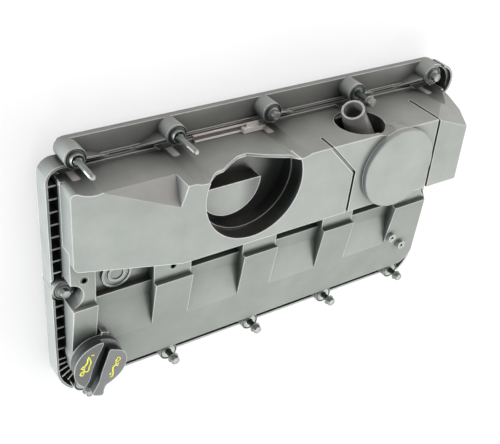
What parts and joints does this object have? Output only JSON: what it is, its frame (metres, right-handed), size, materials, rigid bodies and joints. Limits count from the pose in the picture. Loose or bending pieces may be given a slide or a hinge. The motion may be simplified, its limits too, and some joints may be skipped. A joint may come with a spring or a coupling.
{
  "type": "engine valve cover",
  "caption": "Moulded engine valve cover with oil separator dome, round pocket, breather spout, oil filler cap and captive flange bolts.",
  "frame": {"origin": "middle of the gasket plane, on the line between the third bolts of both long rows", "axes": "+X along the engine away from the oil filler end, +Y across the engine towards the separator dome, +Z away from the cylinder head"},
  "size_m": [0.4411, 0.2684, 0.092],
  "materials": {
    "cover_plastic": "satin",
    "black_plastic": "satin",
    "cap_plastic": "satin",
    "rubber": "matte",
    "steel": "zinc plated",
    "dark_steel": "dark plated"
  },
  "bodies": {
    "cover": {"cover_body": "cover_plastic", "separator_cover": "cover_plastic", "separator_baffle": "black_plastic", "pcv_cover": "cover_plastic", "pcv_diaphragm": "rubber", "pcv_spring": "steel", "breather_pipe": "black_plastic", "breather_seal": "rubber", "gasket": "rubber", "washers": "dark_steel", "grommets": "rubber", "sleeves": "steel", "threaded_inserts": "dark_steel", "blanking_plug": "black_plastic", "harness_clip": "black_plastic"},
    "oil_cap": {"filler_cap": "cap_plastic", "filler_cap_seal": "rubber"},
    "valve_plate": {"pcv_valve_plate": "black_plastic"},
    "lower_bolt_1": {"lower_bolt_1": "steel"},
    "lower_bolt_2": {"lower_bolt_2": "steel"},
    "lower_bolt_3": {"lower_bolt_3": "steel"},
    "lower_bolt_4": {"lower_bolt_4": "steel"},
    "lower_bolt_5": {"lower_bolt_5": "steel"},
    "upper_stud_1": {"upper_stud_1": "steel"},
    "upper_stud_2": {"upper_stud_2": "steel"},
    "upper_bolt_3": {"upper_bolt_3": "steel"},
    "upper_bolt_4": {"upper_bolt_4": "steel"},
    "upper_bolt_5": {"upper_bolt_5": "steel"},
    "left_bolt": {"left_bolt": "steel"},
    "right_bolt": {"right_bolt": "steel"}
  },
  "joints": [
    {"name": "oil_cap_turn", "type": "hinge", "parent": "cover", "child": "oil_cap", "pos_m": [-0.1853, -0.0773, 0.042], "axis": [0, 0, 1], "range_deg": [0, 90]},
    {"name": "valve_plate_slide", "type": "slide", "parent": "cover", "child": "valve_plate", "axis": [0, 0, -1], "range_m": [0, 0.0047], "deforming": ["pcv_spring", "pcv_diaphragm"]},
    {"name": "lower_bolt_1_slide", "type": "slide", "parent": "cover", "child": "lower_bolt_1", "axis": [0, 0, 1], "range_m": [-0.0095, 0.0075]},
    {"name": "lower_bolt_2_slide", "type": "slide", "parent": "cover", "child": "lower_bolt_2", "axis": [0, 0, 1], "range_m": [-0.0095, 0.0075]},
    {"name": "lower_bolt_3_slide", "type": "slide", "parent": "cover", "child": "lower_bolt_3", "axis": [0, 0, 1], "range_m": [-0.0095, 0.0075]},
    {"name": "lower_bolt_4_slide", "type": "slide", "parent": "cover", "child": "lower_bolt_4", "axis": [0, 0, 1], "range_m": [-0.0095, 0.0075]},
    {"name": "lower_bolt_5_slide", "type": "slide", "parent": "cover", "child": "lower_bolt_5", "axis": [0, 0, 1], "range_m": [-0.0095, 0.0075]},
    {"name": "upper_stud_1_slide", "type": "slide", "parent": "cover", "child": "upper_stud_1", "axis": [0, 0, 1], "range_m": [0, 0.017]},
    {"name": "upper_stud_2_slide", "type": "slide", "parent": "cover", "child": "upper_stud_2", "axis": [0, 0, 1], "range_m": [0, 0.017]},
    {"name": "upper_bolt_3_slide", "type": "slide", "parent": "cover", "child": "upper_bolt_3", "axis": [0, 0, 1], "range_m": [0, 0.017]},
    {"name": "upper_bolt_4_slide", "type": "slide", "parent": "cover", "child": "upper_bolt_4", "axis": [0, 0, 1], "range_m": [-0.017, 0]},
    {"name": "upper_bolt_5_slide", "type": "slide", "parent": "cover", "child": "upper_bolt_5", "axis": [0, 0, 1], "range_m": [0, 0.017]},
    {"name": "left_bolt_slide", "type": "slide", "parent": "cover", "child": "left_bolt", "axis": [0, 0, 1], "range_m": [0, 0.017]},
    {"name": "right_bolt_slide", "type": "slide", "parent": "cover", "child": "right_bolt", "axis": [0, 0, 1], "range_m": [0, 0.017]}
  ]
}
